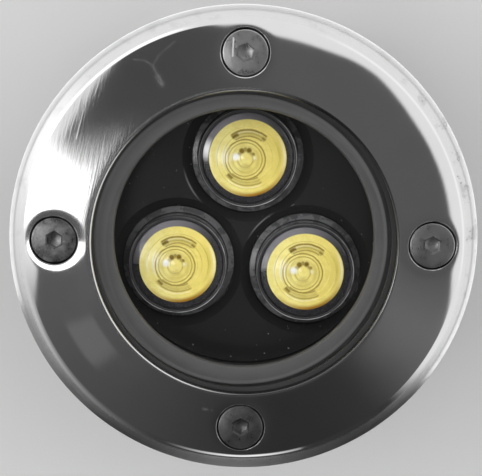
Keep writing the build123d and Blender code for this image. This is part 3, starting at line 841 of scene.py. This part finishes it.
def make_face_ring():
    """Steel ring as one closed mesh: a fine lathe whose four screw pockets are patches of rings."""
    upper = face_outline()
    crest = int(np.argmax(upper[:, 1]))
    slope = upper[crest:]
    order = np.argsort(slope[:, 0])
    slope_radii = slope[order, 0]
    slope_heights = slope[order, 1]

    def face_height(radius):
        return float(np.interp(radius, slope_radii, slope_heights))

    near = screw_circle - window_reach
    far = screw_circle + window_reach
    window = [(radius, face_height(radius)) for radius in np.linspace(near, far, window_rows + 1)]
    before = [tuple(point) for point in upper if point[0] < near - row_gap]
    after = [tuple(point) for point in slope if point[0] > far + row_gap]
    after += [(lap_radius, flange_top)]
    floor_near = screw_circle - (screw_circle - recess_radius) * 0.85
    floor = [(radius, flange_top) for radius in np.linspace(far, floor_near, window_rows + 1)]
    closing = [(recess_radius, flange_top), (recess_radius, lip_underside)]
    outline = before + window + after + floor + closing
    rows = len(outline)
    first_top = len(before)
    first_floor = first_top + len(window) + len(after)
    dish_rows = range(first_top - dish_rows_before, first_top + len(window) + dish_rows_after)
    centres = [np.array(axis) for axis in screw_axes]

    def dished(x, y, z):
        """Lowers a point of the face by the soft dish round the nearest screw."""
        away, depth = min(
            (math.hypot(x - centre[0], y - centre[1]), depth) for centre, depth in zip(centres, dish_depths)
        )
        share = max(0.0, (dish_reach - away) / (dish_reach - pocket_mouth))
        return z - depth * min(share, 1.0) ** 3

    def pressed(x, y):
        """Moves the lip a little off the middle, as the press left it."""
        share = (recess_radius - math.hypot(x, y)) / (recess_radius - lip_wall)
        share = min(max(share, 0.0), 1.0)
        return x + lip_offset[0] * share, y + lip_offset[1] * share

    points = []
    for column in range(ring_columns):
        bearing = column * 2 * math.pi / ring_columns
        for row, (radius, height) in enumerate(outline):
            x = radius * math.cos(bearing)
            y = radius * math.sin(bearing)
            points.append((*pressed(x, y), dished(x, y, height) if row in dish_rows else height))

    def grid(column, row):
        return (column % ring_columns) * rows + row % rows

    taken = set()
    middles = [round(math.atan2(y, x) / (2 * math.pi) * ring_columns) for x, y in screw_axes]
    for middle in middles:
        for column in range(middle - window_columns, middle + window_columns):
            for row in range(window_rows):
                taken.add((column % ring_columns, first_top + row))
                taken.add((column % ring_columns, first_floor + row))
    faces = []
    for column in range(ring_columns):
        for row in range(rows):
            if (column, row) not in taken:
                corners = ((column, row), (column + 1, row), (column + 1, row + 1), (column, row + 1))
                faces.append([grid(*corner) for corner in corners])
    for middle, centre in zip(middles, centres):
        low = middle - window_columns
        high = middle + window_columns
        loop = [(low, row) for row in range(window_rows)]
        loop += [(column, window_rows) for column in range(low, high)]
        loop += [(high, row) for row in range(window_rows, 0, -1)]
        loop += [(column, 0) for column in range(high, low, -1)]
        top = [grid(column, first_top + row) for column, row in loop]
        bottom = [grid(column, first_floor + window_rows - row) for column, row in loop]
        edge = [np.array(points[index][:2]) for index in top]
        headings = [math.atan2(*(place - centre)[::-1]) for place in edge]
        ways = [np.array((math.cos(heading), math.sin(heading))) for heading in headings]
        rings = [top]

        def add_ring(places):
            rings.append(list(range(len(points), len(points) + len(places))))
            points.extend(places)

        def add_circle(radius, heights):
            add_ring([(*(centre + radius * way), height) for way, height in zip(ways, heights)])

        for step in range(1, patch_rings + 1):
            share = 1 - (1 - step / patch_rings) ** patch_spacing
            places = []
            for place, way in zip(edge, ways):
                x, y = place + (centre + pocket_mouth * way - place) * share
                places.append((x, y, dished(x, y, face_height(math.hypot(x, y)))))
            add_ring(places)
        rim = [points[index][2] for index in rings[-1]]
        for angle in (22.5, 45.0, 67.5, 90.0):
            drop = pocket_edge * (1 - math.cos(math.radians(angle)))
            out = pocket_mouth - pocket_edge * math.sin(math.radians(angle))
            add_circle(out, [height - drop for height in rim])
        inner_steps = [
            (pocket_radius, screw_top - 1.0 * MM),
            (pocket_radius - 0.1 * MM, screw_top - 1.2 * MM),
            (hole_radius + 0.1 * MM, screw_top - 2.5 * MM),
            (hole_radius, screw_top - 2.65 * MM),
            (hole_radius, flange_top),
        ]
        for out, height in inner_steps:
            add_circle(out, [height] * len(loop))
        for share in (1 / 3, 2 / 3):
            places = []
            for way, index in zip(ways, bottom):
                toward_edge = (np.array(points[index][:2]) - centre) * share
                places.append((*(centre + hole_radius * (1 - share) * way + toward_edge), flange_top))
            add_ring(places)
        rings.append(bottom)
        for upper_ring, lower_ring in zip(rings, rings[1:]):
            for step in range(len(loop)):
                after_step = (step + 1) % len(loop)
                faces.append(
                    (upper_ring[step], lower_ring[step], lower_ring[after_step], upper_ring[after_step])
                )
    ring = mesh_object("ring_face", points, faces)
    recalculate(ring)
    dress(ring, "ring", "polished_steel", polished_steel(), "face_ring")


def recalculate(piece):
    """Drops loose points and turns every face outwards."""
    work = bmesh.new()
    work.from_mesh(piece.data)
    bmesh.ops.delete(work, geom=[point for point in work.verts if not point.link_faces], context="VERTS")
    bmesh.ops.recalc_face_normals(work, faces=work.faces)
    work.to_mesh(piece.data)
    work.free()
    piece.data.shade_smooth()


# ---------------------------------------------------------------- turned pieces by geometry nodes


path_radius = 1 * MM        # circle that an outline is swept along


def turning_tree():
    """Geometry nodes that turn an outline about an upright axis, cut a hexagon socket and place copies."""
    tree = bpy.data.node_groups.new("turned_piece", "GeometryNodeTree")
    tree.is_modifier = True
    face = tree.interface
    face.new_socket("Outline", in_out="INPUT", socket_type="NodeSocketGeometry")
    sockets = (
        ("Segments", "NodeSocketInt", 96),
        ("Copies", "NodeSocketInt", 1),
        ("Circle", "NodeSocketFloat", 0.0),
        ("First Angle", "NodeSocketFloat", 0.0),
        ("Socket Radius", "NodeSocketFloat", 0.0),
        ("Socket Depth", "NodeSocketFloat", 0.0),
        ("Socket Turn", "NodeSocketFloat", 0.0),
        ("Top", "NodeSocketFloat", 0.0),
        ("Finish", "NodeSocketMaterial", None),
    )
    for name, kind, value in sockets:
        made = face.new_socket(name, in_out="INPUT", socket_type=kind)
        if value is not None:
            made.default_value = value
    face.new_socket("Piece", in_out="OUTPUT", socket_type="NodeSocketGeometry")
    paint = Paint(tree)
    start = tree.nodes.new("NodeGroupInput")
    given = {socket.name: Value(paint, socket) for socket in start.outputs if socket.name}
    profile = paint.node("GeometryNodeMeshToCurve", {"Mesh": given["Outline"]})
    path_sizes = {"Resolution": given["Segments"], "Radius": path_radius}
    path = paint.node("GeometryNodeCurvePrimitiveCircle", path_sizes)
    turned = paint.node("GeometryNodeCurveToMesh", {"Curve": path, "Profile Curve": profile})
    turned = paint.node("GeometryNodeMergeByDistance", {"Geometry": turned, "Distance": 0.001 * MM})

    # The hexagon socket: the key's own shape, a chamfer at its mouth and the drill's cone at its foot.
    socket_radius = given["Socket Radius"]
    cone_height = 0.5 * MM
    key_sizes = {"Vertices": 6, "Radius": socket_radius, "Depth": given["Socket Depth"] * 2.0}
    key = paint.node("GeometryNodeMeshCylinder", key_sizes)
    chamfer = paint.node(
        "GeometryNodeMeshCone",
        {
            "Vertices": 6,
            "Radius Top": socket_radius * 1.24,
            "Radius Bottom": socket_radius * 0.98,
            "Depth": cone_height,
        },
    )
    drill = paint.node(
        "GeometryNodeMeshCone",
        {"Vertices": 32, "Radius Top": socket_radius * 0.8, "Radius Bottom": 0.0, "Depth": cone_height},
    )
    drill_place = paint.join(0.0, 0.0, -0.45 * MM - given["Socket Depth"])
    drill = paint.node("GeometryNodeTransform", {"Geometry": drill, "Translation": drill_place})
    chamfer = paint.node("GeometryNodeTransform", {"Geometry": chamfer, "Translation": (0, 0, -0.3 * MM)})
    cut = paint.node(
        "GeometryNodeMeshBoolean", {"Mesh 1": turned}, "Mesh", operation="DIFFERENCE", solver="EXACT"
    )
    for cutter in (key, chamfer, drill):
        placed = paint.node(
            "GeometryNodeTransform",
            {
                "Geometry": cutter,
                "Translation": paint.join(0.0, 0.0, given["Top"]),
                "Rotation": paint.join(0.0, 0.0, given["Socket Turn"]),
            },
        )
        tree.links.new(placed.socket, cut.socket.node.inputs["Mesh 2"])
    depths = {0: given["Socket Depth"], 1: 0.0}
    has_socket = paint.node("FunctionNodeCompare", depths, data_type="FLOAT", operation="GREATER_THAN")
    choice = {"Switch": has_socket, "False": turned, "True": cut}
    one = paint.node("GeometryNodeSwitch", choice, input_type="GEOMETRY")

    # The place about the piece's own axis is stored before the copies are set round the lamp.
    stored = {"Geometry": one, "Name": "own_place", "Value": paint.node("GeometryNodeInputPosition")}
    one = paint.node(
        "GeometryNodeStoreNamedAttribute", stored, "Geometry", data_type="FLOAT_VECTOR", domain="POINT"
    )
    row = paint.node("GeometryNodeMeshLine", {"Count": given["Copies"], "Offset": (0, 0, 0)})
    angle = paint.node("GeometryNodeInputIndex") * (2 * math.pi) / given["Copies"] + given["First Angle"]
    place_x = paint.maths("COSINE", angle) * given["Circle"]
    place_y = paint.maths("SINE", angle) * given["Circle"]
    row = paint.node(
        "GeometryNodeSetPosition", {"Geometry": row, "Position": paint.join(place_x, place_y, 0.0)}
    )
    copies = paint.node("GeometryNodeInstanceOnPoints", {"Points": row, "Instance": one})
    solid = paint.node("GeometryNodeRealizeInstances", {"Geometry": copies})
    solid = paint.node("GeometryNodeSetMaterial", {"Geometry": solid, "Material": given["Finish"]})
    end = tree.nodes.new("NodeGroupOutput")
    tree.links.new(solid.socket, end.inputs["Piece"])
    return tree


turning = turning_tree()


def turned_piece(name, corners, finish, sharp_angle=None, **sizes):
    """Plain mesh turned from an outline of (radius, height, fillet) corners by the geometry nodes."""
    outline = rounded(corners)
    points = [(radius - path_radius, -height, 0.0) for radius, height in outline]   # the path turns it over
    data = bpy.data.meshes.new(name)
    data.from_pydata(points, [(step, step + 1) for step in range(len(points) - 1)], [])
    piece = into_scene(name, data)
    modifier = piece.modifiers.new("turning", "NODES")
    modifier.node_group = turning
    sizes["Finish"] = finish
    for item in turning.interface.items_tree:
        if item.in_out == "INPUT" and item.name in sizes:
            modifier[item.identifier] = sizes[item.name]
    graph = bpy.context.evaluated_depsgraph_get()
    solid = bpy.data.meshes.new_from_object(piece.evaluated_get(graph))
    piece.modifiers.clear()
    piece.data = solid
    solid.name = name
    bpy.data.meshes.remove(data)
    recalculate(piece)
    if sharp_angle:
        solid.set_sharp_from_angle(angle=math.radians(sharp_angle))
    return piece


def make_face_screws():
    """Four flat-head screws, each on its own body."""
    head_radius = (screw_high.x - screw_low.x) / 2
    visible_radius = head_radius - 0.14 * MM
    shank_radius = 2.5 * MM
    neck_radius = 2.0 * MM
    clip_gap = 0.05 * MM
    clip_low, clip_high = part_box("screw_clip_1")
    neck_top = clip_high.z + clip_gap
    neck_foot = clip_low.z - clip_gap
    top = screw_top
    corners = [
        (0, top, 0),
        (visible_radius - 0.25 * MM, top, 0.0),
        (visible_radius, top - 0.05 * MM, 0.1 * MM),
        (visible_radius, top - 0.25 * MM, 0.05 * MM),
        (visible_radius - 0.15 * MM, top - 0.4 * MM, 0.05 * MM),
        (shank_radius, top - 0.35 * MM - (head_radius - shank_radius), 0.2 * MM),
        (shank_radius, neck_top, 0.05 * MM),
        (neck_radius, neck_top, 0.05 * MM),
        (neck_radius, neck_foot, 0.05 * MM),
        (shank_radius, neck_foot, 0.05 * MM),
        (shank_radius, screw_tip + 0.4 * MM, 0.1 * MM),
        (shank_radius - 0.4 * MM, screw_tip, 0.1 * MM),
        (0, screw_tip, 0),
    ]
    painted_highlight_streak = ((-2.55 * MM, 2.95 * MM), (-2.65 * MM, -0.75 * MM), 0.16 * MM)
    painted_light_looks = (       # turn of the socket in degrees, darkest and lightest tone, bright streak; the tones are painted light and shade, different for each screw, and the streak is a painted highlight on a scratch
        (20.0, 0.46, 0.57, painted_highlight_streak),
        (28.0, 0.16, 0.42, None),
        (30.0, 0.17, 0.24, None),
        (27.0, 0.36, 0.42, None),
    )
    for number, ((x, y), (turn, dark, light, mark)) in enumerate(zip(screw_axes, painted_light_looks), 1):
        finish = screw_steel(f"screw_steel_{number}", dark, light, mark)
        sizes = {
            "Segments": 96,
            "Copies": 1,
            "Circle": screw_circle,
            "First Angle": math.atan2(y, x),
            "Socket Radius": 1.8 * MM,
            "Socket Depth": 1.7 * MM,
            "Socket Turn": math.radians(turn),
            "Top": top,
        }
        screw = turned_piece(f"flat_head_screw_{number}", corners, finish, sharp_angle=35.0, **sizes)
        dress(screw, f"screw_{number}", "screw_steel", finish, f"face_screw_{number}")


def make_lens_holders():
    """Three smoky barrels with a base flange and a rounded rim, as one mesh."""
    flange_radius = (holder_high.x - holder_low.x) / 2
    barrel_radius = flange_radius - 1.5 * MM
    board = holder_low.z
    floor_top = board + 1.2 * MM
    floor_hole = 4.3 * MM
    flange_low = board + 4.8 * MM
    flange_high = flange_low + 1.2 * MM
    rim = holder_high.z
    seat = rim - 1.2 * MM
    lens_radius = barrel_radius - 0.8 * MM
    bore_radius = lens_radius - 0.9 * MM
    corners = [
        (floor_hole, board, 0),
        (barrel_radius, board, 0.2 * MM),
        (barrel_radius, flange_low, 0.1 * MM),
        (flange_radius, flange_low, 0.2 * MM),
        (flange_radius, flange_high - 0.25 * MM, 0.3 * MM),
        (barrel_radius, flange_high, 0.5 * MM),
        (barrel_radius, rim, 0.25 * MM),
        (lens_radius, rim, 0.15 * MM),
        (lens_radius, seat, 0.05 * MM),
        (bore_radius, seat, 0.05 * MM),
        (bore_radius, floor_top, 0.2 * MM),
        (floor_hole, floor_top, 0.1 * MM),
        (floor_hole, board, 0),
    ]
    sizes = {"Segments": 128, "Copies": 3, "Circle": lens_circle, "First Angle": lens_bearing}
    finish = smoked_plastic()
    holders = turned_piece("lens_barrels", corners, finish, sharp_angle=50.0, **sizes)
    dress(holders, "fitting", "holder_smoke", finish, "lens_holder_1", "lens_holder_2", "lens_holder_3")


def make_lenses():
    """Three collimator lenses with their ringed tops, as one mesh."""
    rim_radius = (lens_high.x - lens_low.x) / 2
    top = lens_high.z
    foot = lens_low.z
    rim_low = top - 1.0 * MM
    head_radius = rim_radius - 1.1 * MM
    foot_radius = 4.4 * MM
    bowl_radius = 3.0 * MM
    corners = [(0, top - 0.20 * MM, 0), (0.9 * MM, top - 0.26 * MM, 1.2 * MM)]
    saw_teeth = (       # radius and drop of each tooth's foot, then of its crest, in millimetres
        (1.55, 0.42, 1.72, 0.25),
        (3.30, 0.42, 3.42, 0.30),
        (4.35, 0.42, 4.48, 0.28),
        (5.35, 0.40, 5.50, 0.20),
        (6.75, 0.36, 6.90, 0.12),
    )
    for foot_at, foot_drop, crest_at, crest_drop in saw_teeth:
        corners.append((foot_at * MM, top - foot_drop * MM, 0.1 * MM))
        corners.append((crest_at * MM, top - crest_drop * MM, 0.05 * MM))
    belly_radius = 0.5 * (head_radius + foot_radius) + 0.9 * MM
    belly_height = 0.5 * (foot + rim_low) - 0.9 * MM
    corners += [
        (8.6 * MM, top - 0.22 * MM, 1.0 * MM),
        (rim_radius, top - 0.5 * MM, 0.3 * MM),
        (rim_radius, rim_low, 0.1 * MM),
        (head_radius, rim_low, 0.2 * MM),
        (belly_radius, belly_height, 6 * MM),
        (foot_radius, foot, 0.1 * MM),
        (bowl_radius, foot, 0.1 * MM),
        (bowl_radius, foot + 3.0 * MM, 0.3 * MM),
        (0, foot + 4.0 * MM, 0),
    ]
    sizes = {"Segments": 160, "Copies": 3, "Circle": lens_circle, "First Angle": lens_bearing}
    finish = yellow_lens()
    lenses = turned_piece("ringed_lenses", corners, finish, sharp_angle=60.0, **sizes)
    dress(lenses, "fitting", "lens_clear", finish, "lens_1", "lens_2", "lens_3")


def make_glass_gasket(finish):
    """Grey silicone ring under the glass, squeezed a little off the middle."""
    low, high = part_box("lower_glass_gasket")
    inner = opening_radius - 3.18 * MM
    outer = glass_radius - 0.42 * MM
    top = high.z - 0.03 * MM        # just clear of the glass, so that the two faces never share a plane
    corners = [
        (inner, low.z, 0),
        (inner - 0.1 * MM, low.z + 0.7 * MM, 0.4 * MM),
        (inner + 0.2 * MM, top, 0.35 * MM),
        (outer, top, 0.2 * MM),
        (outer, low.z, 0.2 * MM),
        (inner, low.z, 0),
    ]
    sizes = {"Segments": 256, "Copies": 1, "Circle": 0.22 * MM, "First Angle": math.radians(-60.0)}
    gasket = turned_piece("glass_bed_gasket", corners, finish, **sizes)
    dress(gasket, "fitting", "grey_silicone", finish, "lower_glass_gasket")


def paint_frame_nodes():
    """Gives every CAD node that stays in view its finish."""
    board_tones = (0.66, 0.66, 0.64, 1), (0.76, 0.76, 0.73, 1)
    phosphor_tones = (0.72, 0.52, 0.06, 1), (0.85, 0.66, 0.12, 1)
    finishes = {
        "sleeve_plastic": moulded("sleeve_plastic", grey(0.045), grey(0.075), 0.5, 900.0, 0.03),
        "black_rubber": moulded("rubber_black", grey(0.018), grey(0.035), 0.55),
        "housing_paint": moulded("housing_powder", grey(0.030), grey(0.055), 0.5, 1500.0, 0.05),
        "gland_nylon": moulded("gland_nylon", grey(0.020), grey(0.040), 0.42),
        "screw_steel": moulded(
            "small_screw_steel", grey(0.42), grey(0.58), 0.28, 2600.0, 0.004, metallic=1.0
        ),
        "board_white": moulded("board_white", *board_tones, 0.35),
        "grey_silicone": silicone_grey(),
        "glass": clear_glass(),
        "plate_gloss_black": gloss_plate(),
        "phosphor": moulded("emitter_phosphor", *phosphor_tones, 0.2, coat=1.0),
        "pad_grey": moulded("pad_soft", (0.33, 0.36, 0.40, 1), (0.42, 0.45, 0.50, 1), 0.7),
        "lead_red": moulded("lead_red", (0.42, 0.025, 0.02, 1), (0.55, 0.05, 0.04, 1), 0.4),
        "board_green": moulded("board_green", (0.015, 0.13, 0.045, 1), (0.03, 0.2, 0.08, 1), 0.35),
        "capacitor_sleeve": moulded("capacitor_sleeve", (0.02, 0.03, 0.09, 1), (0.04, 0.05, 0.13, 1), 0.25),
        "ferrite": moulded("ferrite", grey(0.06), grey(0.10), 0.6),
        "chip_black": moulded("chip_black", grey(0.02), grey(0.04), 0.5),
        "terminal_green": moulded("terminal_green", (0.04, 0.27, 0.1, 1), (0.07, 0.35, 0.14, 1), 0.4),
    }
    make_glass_gasket(finishes["grey_silicone"])
    slots = {part["node"]: part["material_slot"] for part in frame["record"]["subparts"]}
    for node, piece in frame["nodes"].items():
        if not piece.hide_render and slots[node] in finishes:
            piece.data.materials.clear()
            # Painted shade: the upper glass gasket takes black rubber in place of its grey silicone, so that
            # the gap under the lip is dark.
            slot = "black_rubber" if node == "upper_glass_gasket" else slots[node]
            piece.data.materials.append(finishes[slot])


make_camera()
make_studio()
make_lamp("lamp_north_east", 35.0, 60.0, 0.9, 0.5, 1.6)
make_lamp("lamp_north_west", 140.0, 62.0, 0.9, 0.6, 2.1)
make_lamp("lamp_south", 262.0, 58.0, 0.9, 0.5, 1.3)
make_floor()
make_shade_card()
make_light_card()
make_face_ring()
make_face_screws()
make_lens_holders()
make_lenses()
paint_frame_nodes()
bpy.context.scene.view_settings.view_transform = "Standard"
